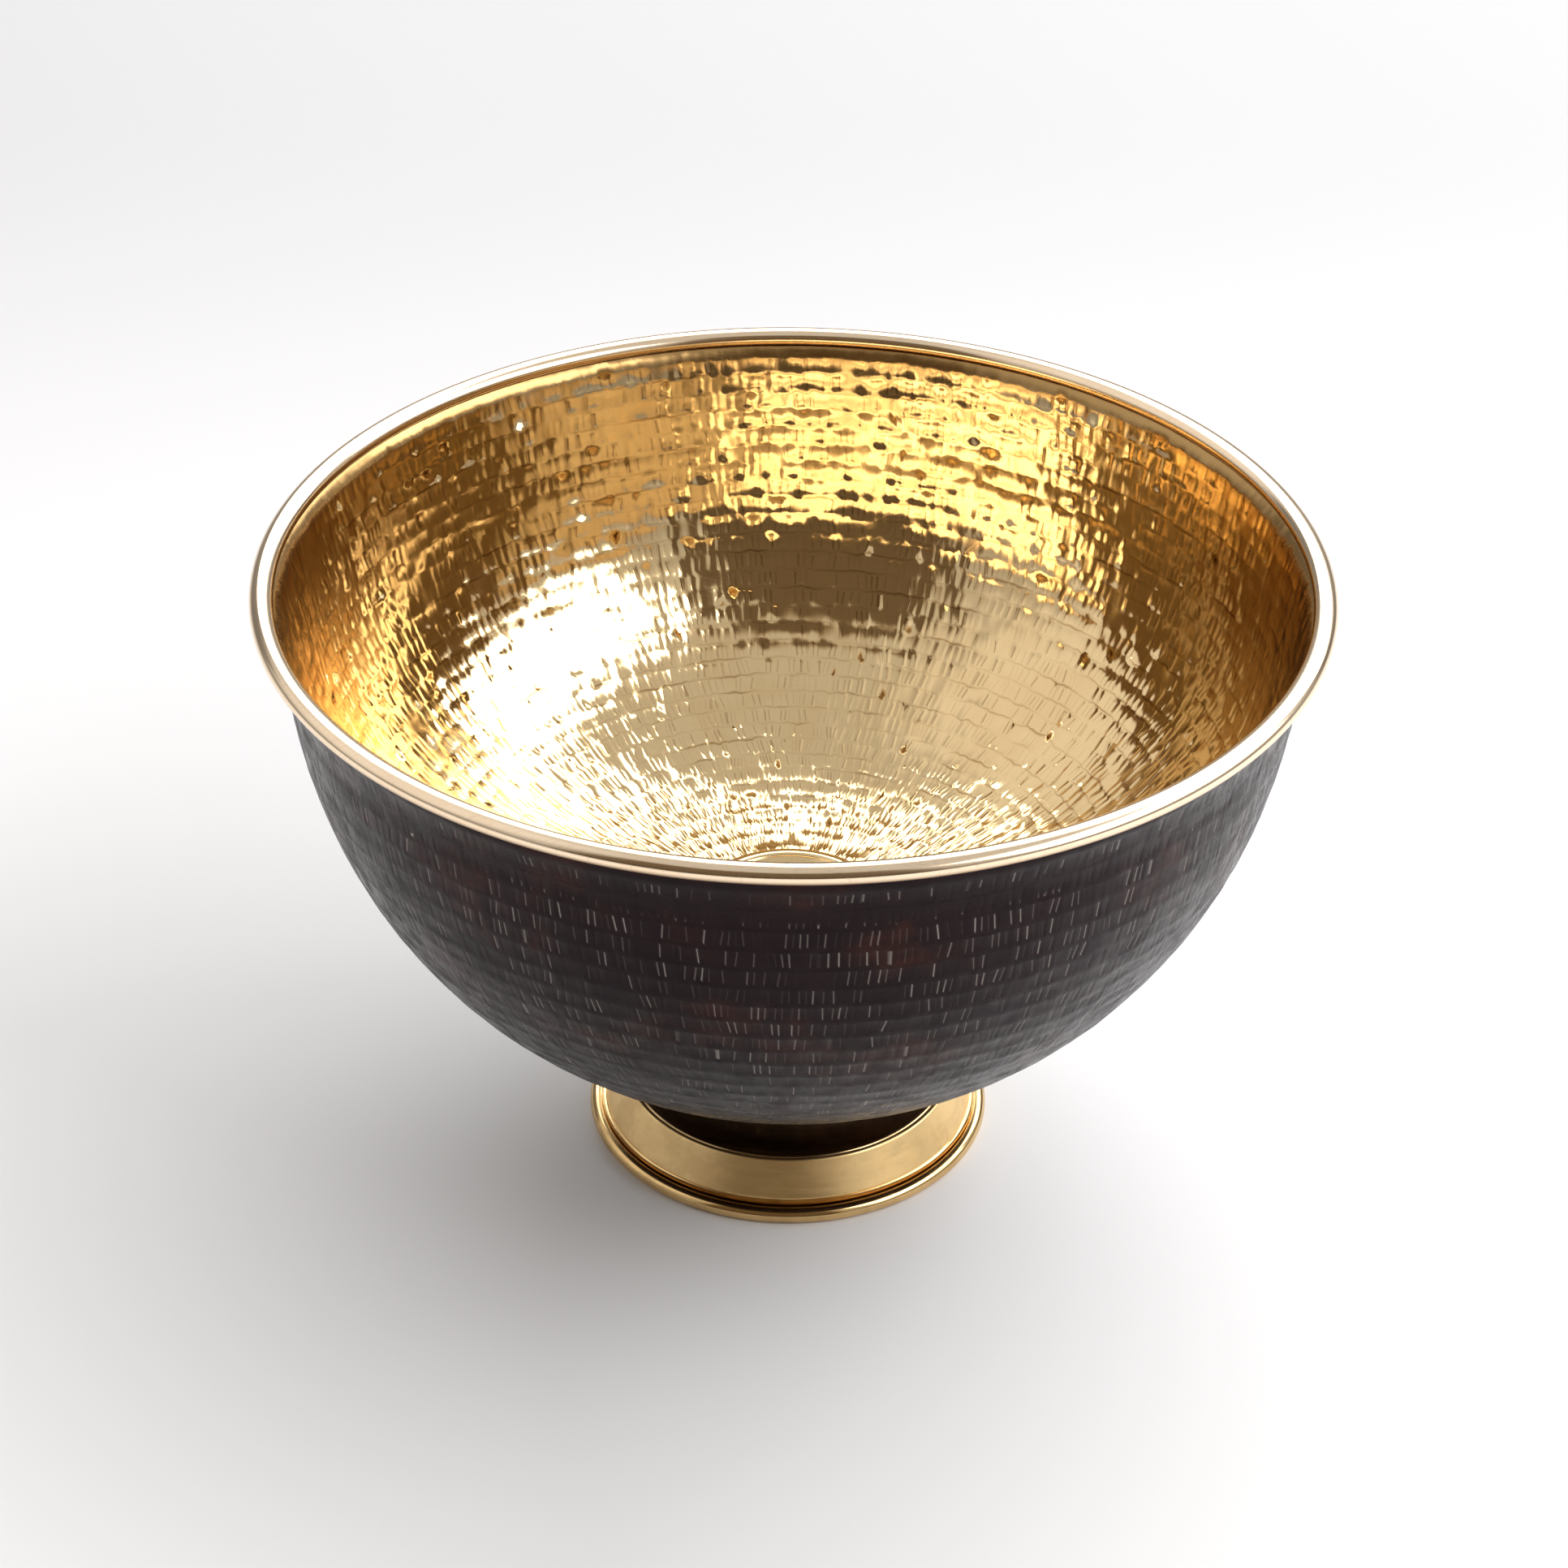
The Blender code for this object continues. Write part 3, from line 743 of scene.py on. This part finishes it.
COPPER = patinated_copper()
LINER_BRASS = polished_brass()
RIM_BRASS = rim_brass()
NECK_BRASS = foot_brass(
    "dark_brass", (0.62, 0.44, 0.22), dark=(0.16, 0.09, 0.05), roughness=0.16, brushing=0.06, stain=0.5
)
FOOT_BRASS = foot_brass(
    "satin_brass", (0.94, 0.67, 0.32), dark=(0.42, 0.24, 0.09), roughness=0.33, brushing=0.14, stain=0.22
)
# The roll's brass is darker than the band's: painted shade, standing in for the shadow it sits in.
PAINTED_SHADE_ROLL_BRASS = foot_brass(
    "roll_brass", (0.80, 0.55, 0.25), dark=(0.34, 0.19, 0.07), roughness=0.12, brushing=0.04, stain=0.25
)
STEEL, FIBRE = zinc_steel(), red_fibre()
metals = (COPPER, LINER_BRASS, RIM_BRASS, NECK_BRASS, FOOT_BRASS, PAINTED_SHADE_ROLL_BRASS, STEEL, FIBRE)
print("metals:", [metal.name for metal in metals])

# %% [markdown]
# ## The outer shell
# The shell is raised from one sheet of copper, with its courses about 9 mm apart from under the rim down
# to the foot. Only its outside is seen, so the face between the walls has few rows.

# %% Build the outer shell
SHELL_LIP = (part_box("outer_shell")[1].x, LIP_TOP)
SHELL_LOWEST, SHELL_FLAT, SHELL_FLOOR = 52 * MM, 40 * MM, 43.4 * MM
SHELL_COLUMNS, SHELL_BARE, SHELL_COURSE = 980, 9 * MM, 9.1 * MM
SHELL_HAMMERING = {
    "Nicks": 420, "Nick Depth": 0.30 * MM, "Lean": 0.45 * MM, "Crease": 0.07 * MM, "Wander": 0.9 * MM,
    "Dimple": 0.12 * MM, "Dimple Size": 0.012, "Thinning": 0.20, "Seed": 1.0,
}
shell_wall = wall_line(SHELL, SHELL_LOWEST)
outside = [row(SHELL_LIP)] + hammered_rows(shell_wall, SHELL_BARE, SHELL_COURSE, 0.16, 0.80)
outside += plain([shell_wall[-1], (SHELL_FLAT, SHELL_FLOOR), (STUD_HOLE, SHELL_FLOOR)])
inner_face = inset([r["point"] for r in outside], SHEET)
inner_face = [inner_face[0]] + inner_face[1:-3:8] + inner_face[-3:]
shell_rows = outside + plain(inner_face[::-1])
shell = turned("outer_shell_hammered", shell_rows, COPPER, SHELL_COLUMNS, **SHELL_HAMMERING)

# %% [markdown]
# ## The liner
# The liner is a shallower bowl of brass inside the shell, hammered finer, with courses 7.5 mm apart down
# to the flat under the disc. Here the inside is the face that is seen.

# %% Build the liner
LINER_LIP = (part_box("inner_liner")[1].x, LIP_TOP)
LINER_COLUMNS, LINER_BARE, LINER_COURSE = 890, 6 * MM, 7.5 * MM
LINER_HAMMERING = {
    "Nicks": 350, "Nick Depth": 0.32 * MM, "Lean": 0.5 * MM, "Crease": 0.09 * MM, "Wander": 1.3 * MM,
    "Dimple": 0.26 * MM, "Dimple Size": 0.009, "Thinning": 0.28, "Seed": 7.0,
}
liner_wall = wall_line(LINER, FLAT_RADIUS)
inner_line = inset(liner_wall, SHEET)
inside_top = inset([LINER_LIP, liner_wall[0]], SHEET)[0]
inside = [row(inside_top)] + hammered_rows(inner_line, LINER_BARE, LINER_COURSE, 0.2, 0.8)
inside += plain([inner_line[-1], (HUB_HOLE, inner_line[-1][1])])
hidden = inset([r["point"] for r in inside], -1.5 * SHEET)
hidden = [LINER_LIP] + hidden[1:-2:9] + hidden[-2:]
liner_rows = plain(hidden) + inside[::-1]
liner = turned("liner_hammered", liner_rows, LINER_BRASS, LINER_COLUMNS, **LINER_HAMMERING)

# %% [markdown]
# ## The rolled rim
# A brass strip is rolled round a wire and closed over both edges, so it is a tube slit along its
# underside. The wire inside it is the CAD model's own.

# %% Build the rim
bead = arc(RIM_CENTRE, (RIM_HALF_WIDTH, RIM_HALF_HEIGHT), 210, -90, 30)
hollow = arc(RIM_CENTRE, (RIM_HALF_WIDTH - RIM_SHEET, RIM_HALF_HEIGHT - RIM_SHEET), -90, 210, 14)
rim = turned("rim_bead", plain(bead + hollow), RIM_BRASS, 360)

# %% [markdown]
# ## The disc in the middle
# A thick smooth disc with a raised bead round it hides the fixing, and carries the hub for the stud.

# %% Build the disc
BOSS_LOW, BOSS_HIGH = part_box("centre_boss")
BOSS_RADIUS = BOSS_HIGH.x
BEAD_HALF, BEAD_RISE = 2.5 * MM, 1.2 * MM
disc_top = BOSS_HIGH.z - BEAD_RISE
dome = [(0.0, disc_top + 0.5 * MM), (9 * MM, disc_top + 0.47 * MM), (20 * MM, disc_top + 0.28 * MM)]
disc_bead = arc((BOSS_RADIUS - BEAD_HALF, disc_top), (BEAD_HALF, BEAD_RISE), 180, 0, 12)
DISC_THICKNESS, RECESS, SKIRT, HUB_RADIUS = 7.5 * MM, 1.1 * MM, 1.2 * MM, 9 * MM
floor_z = disc_top - DISC_THICKNESS
recess_z = floor_z + RECESS
skirt_in = BOSS_RADIUS - SKIRT
hole_z = recess_z + 0.4 * MM
under = [(BOSS_RADIUS, disc_top - 1 * MM), (BOSS_RADIUS, floor_z), (skirt_in, floor_z), (skirt_in, recess_z)]
under += [(HUB_RADIUS, recess_z), (HUB_RADIUS, BOSS_LOW.z), (STUD_HOLE, BOSS_LOW.z), (STUD_HOLE, hole_z)]
under += [(0.0, hole_z)]
DISC_BRASS = polished_brass("disc_brass", 0.0)
disc = turned("boss_disc", plain(dome + disc_bead + under), DISC_BRASS, 256)

# %% [markdown]
# ## The foot
# Three spun pieces, soldered: the neck with its plate, cove and shoulder, the cone band, and the base
# ring rolled over a wire. The seams between them stay as fine dark grooves.

# %% Build the foot
FOOT_SHEET = 1.2 * MM
LAP = 0.3 * MM
BAND_TOP, BAND_BOTTOM = (65.7 * MM, 21.2 * MM), (72.8 * MM, 7.8 * MM)
NECK_RADIUS, NECK_CORNER, COVE_TOP = 46.8 * MM, 2.2 * MM, 36 * MM
PLATE_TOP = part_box("foot_neck")[1].z


def band_point(share):
    """The point that far down the slope of the cone band, from 0 to 1."""
    return tuple(a + (b - a) * share for a, b in zip(BAND_TOP, BAND_BOTTOM))


def sheet_rows(line, thickness):
    """A sheet of that thickness, whose outside is the line."""
    return plain(list(line) + inset(line, thickness)[::-1])


corner = arc((NECK_RADIUS - NECK_CORNER, PLATE_TOP - NECK_CORNER), (NECK_CORNER, NECK_CORNER), 90, 0, 8)
cove_end = (BAND_TOP[0] - 2.0 * MM, BAND_TOP[1] + 0.9 * MM)
cove = arc((cove_end[0], COVE_TOP), (cove_end[0] - NECK_RADIUS, COVE_TOP - cove_end[1]), 180, 270, 24)
lap = [(r - FOOT_SHEET - LAP, z) for r, z in (BAND_TOP, band_point(0.32))]
neck_line = [(STUD_HOLE, PLATE_TOP)] + corner + cove + lap
neck = turned("foot_neck_spun", sheet_rows(neck_line, FOOT_SHEET), NECK_BRASS, 240)

ease = 0.35 * MM
band_outside = [(BAND_TOP[0] - 2 * ease, BAND_TOP[1] + ease), (BAND_TOP[0] - ease, BAND_TOP[1] + 0.7 * ease)]
band_outside += [band_point(share) for share in (0.01, 0.04, 0.2, 0.4, 0.6, 0.8, 0.96, 0.99)]
band_outside += [(BAND_BOTTOM[0] - 0.4 * ease, BAND_BOTTOM[1] - 0.5 * ease)]
band_inside = [(BAND_BOTTOM[0] - FOOT_SHEET, BAND_BOTTOM[1]), (BAND_TOP[0] - FOOT_SHEET, BAND_TOP[1] + ease)]
band = turned("foot_cone_band", plain(band_outside + band_inside), FOOT_BRASS, 300)

ROLL_RADIUS, BASE_SHEET = 3.15 * MM, 0.9 * MM
ROLL = (75.95 * MM, ROLL_RADIUS)
lap_in = FOOT_SHEET + LAP
lap_top, lap_low = band_point(0.68), band_point(0.97)
groove = (BAND_BOTTOM[0] - 0.6 * MM, BAND_BOTTOM[1] - 2.2 * MM)
line = [(lap_top[0] - lap_in, lap_top[1]), (lap_low[0] - lap_in, lap_low[1]), groove]
line += arc(ROLL, (ROLL_RADIUS, ROLL_RADIUS), 120, -60, 20)
line += [(ROLL[0] + 1.0 * MM, 0.0), (ROLL[0] - 1.5 * MM, 0.0)]
cavity = ROLL_RADIUS - BASE_SHEET
back = [(ROLL[0] - 1.5 * MM, BASE_SHEET)] + arc(ROLL, (cavity, cavity), -90, 120, 14)
back += [(groove[0] - 0.3 * MM, groove[1] - 1.0 * MM)]
back += [(lap_low[0] - lap_in - BASE_SHEET, lap_low[1] - 0.6 * MM)]
back += [(lap_top[0] - lap_in - BASE_SHEET, lap_top[1])]
base = turned("foot_base_moulding", plain(line + back), PAINTED_SHADE_ROLL_BRASS, 300)

# %% [markdown]
# ## Tie the pieces to the CAD frame
# Each piece rides on the one body and stands for its CAD node, which is hidden; the node's slot is listed
# beside it. The hidden wires, the spacer, the seal and the fixings inside the foot stay as they are in
# CAD, with finished metals.

# %% Rides and stand-ins, with their slots listed
for piece, cad_node, slot in (
    (shell, "outer_shell", "patinated_copper"),
    (liner, "inner_liner", "polished_brass"),
    (rim, "rim_binding", "rim_brass"),
    (disc, "centre_boss", "polished_brass"),
    (neck, "foot_neck", "dark_brass"),
    (band, "foot_band", "satin_brass"),
    (base, "foot_base_ring", "satin_brass"),
):
    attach(piece, "root")
    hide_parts(cad_node)

steel_nodes = ("rim_wire", "foot_wire", "spacer_tube", "fixing_stud")
steel_nodes += ("spread_washer", "lock_washer", "fixing_nut")
for cad_node in steel_nodes:
    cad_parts[cad_node].material_slots[0].material = STEEL
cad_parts["seal_washer"].material_slots[0].material = FIBRE

# %% [markdown]
# ## The stage
# A pale sweep, with a large bright softbox to the right, a wide one behind, a dim glow from the left and
# overhead, and a dark gap on the camera's side. Polished metal shows all of it: the gap is the dark
# patch in the middle of the far wall. The paper is painted darker towards the back, as painted shade
# against the light of the wide softbox, more of which falls on it there.


# %% Floor and backdrop
def sweep():
    """A floor that curves up into a backdrop."""
    depth, bend, height, half = 7.0, 1.5, 5.0, 9.0
    line = [(-depth, 0.0), (-1.0, 0.0), (1.0, 0.0)]
    line += [(depth - bend + x, y) for x, y in arc((0.0, bend), (bend, bend), -90, 0, 24)]
    line += [(depth, height)]
    mesh = bpy.data.meshes.new("sweep")
    verts = [(x, y, z) for y, z in line for x in (-half, half)]
    mesh.from_pydata(verts, [], [(2 * i, 2 * i + 1, 2 * i + 3, 2 * i + 2) for i in range(len(line) - 1)])
    mesh.polygons.foreach_set("use_smooth", [True] * len(mesh.polygons))
    made = bpy.data.objects.new("sweep", mesh)
    bpy.context.scene.collection.objects.link(made)
    # The paper's colour darkens from near to far: painted shade against the stronger light there.
    near, far = (0.82, 0.82, 0.83), (0.54, 0.54, 0.55)
    paper, tree, shader = new_metal("paper", near, 0.7, metallic=0.0)
    back = object_axis(tree, "Y")
    shade = blend_colour(tree, ramp(tree, back, -0.1, 1.0), near, far)
    feed(tree, shader.inputs["Base Color"], shade)
    mesh.materials.append(paper)
    return made


sweep()


# %% Lights and world
def toward(azimuth, elevation, distance=1.0):
    """The point at that distance in that direction, both angles in degrees, azimuth from +X."""
    az, el = math.radians(azimuth), math.radians(elevation)
    return Vector((math.cos(az) * math.cos(el), math.sin(az) * math.cos(el), math.sin(el))) * distance


BOWL_MIDDLE = Vector((0, 0, 0.2))


def softbox(name, azimuth, elevation, distance, size, brightness):
    """A rectangular area light that faces the bowl, its power worked out from how bright its face is."""
    light = bpy.data.lights.new(name, "AREA")
    light.shape = "RECTANGLE"
    light.size, light.size_y = size
    light.energy = brightness * math.pi * size[0] * size[1]
    made = bpy.data.objects.new(name, light)
    made.location = BOWL_MIDDLE + toward(azimuth, elevation, distance)
    made.rotation_euler = (BOWL_MIDDLE - made.location).to_track_quat("-Z", "Y").to_euler()
    bpy.context.scene.collection.objects.link(made)
    return made


softbox("right_box", -8, 40, 4.5, (5.2, 2.8), 4.4)
softbox("back_box", 76, 41, 4.5, (5.9, 3.0), 3.5)


def lobe(tree, way, aim, narrow, wide):
    """1 within the narrow angle of the aim, falling to 0 at the wide one."""
    near = node(tree, "ShaderNodeVectorMath", way, tuple(aim), operation="DOT_PRODUCT").outputs["Value"]
    return ramp(tree, near, math.cos(math.radians(wide)), math.cos(math.radians(narrow)))


def studio_world():
    """A soft room: brighter overhead and to the left, with a brownish dark gap in front."""
    world = bpy.data.worlds.new("studio")
    bpy.context.scene.world = world
    world.use_nodes = True
    tree = world.node_tree
    shader = tree.nodes["Background"]
    way = tree.nodes.new("ShaderNodeTexCoord").outputs["Generated"]
    parts = node(tree, "ShaderNodeSeparateXYZ", way).outputs
    level = node(tree, "ShaderNodeCombineXYZ", parts["X"], parts["Y"], 0.0).outputs[0]
    level = node(tree, "ShaderNodeVectorMath", level, operation="NORMALIZE").outputs[0]
    left = calc(tree, "MULTIPLY", lobe(tree, way, toward(168, 41), 20, 40), 0.30)
    glow = calc(tree, "ADD", ramp(tree, parts["Z"], -0.1, 0.55, 0.24, 0.60), left)
    below_top = ramp(tree, parts["Z"], 0.82, 0.92, 1.0, 0.0)
    gap = calc(tree, "MULTIPLY", lobe(tree, level, toward(-98, 0), 33, 40), below_top)
    strength = calc(tree, "MULTIPLY", glow, calc(tree, "MULTIPLY_ADD", gap, -0.74, 1.0))
    feed(tree, shader.inputs["Color"], blend_colour(tree, gap, (1.0, 0.97, 0.94), (1.0, 0.74, 0.48)))
    feed(tree, shader.inputs["Strength"], strength)


studio_world()
bpy.context.scene.view_settings.view_transform = "Standard"

# %% [markdown]
# ## The camera
# A longish lens, a little over a metre and a half away, looking down on the bowl by 33 degrees, with a
# slight turn and lean.

# %% Camera
camera = bpy.data.cameras.new("camera")
camera.lens, camera.sensor_width = 93.35, 36.0
PITCH, TURN, LEAN = 0.5755, 0.00217, 0.0105
EYE_PLACE = (0.0, -1.3012, 0.9959)
eye = bpy.data.objects.new("camera", camera)
eye.rotation_mode = "QUATERNION"
level = Quaternion((0, 0, 1), TURN) @ Quaternion((1, 0, 0), math.pi / 2 - PITCH)
eye.rotation_quaternion = level @ Quaternion((0, 0, 1), LEAN)
eye.location = EYE_PLACE
bpy.context.scene.collection.objects.link(eye)
bpy.context.scene.camera = eye
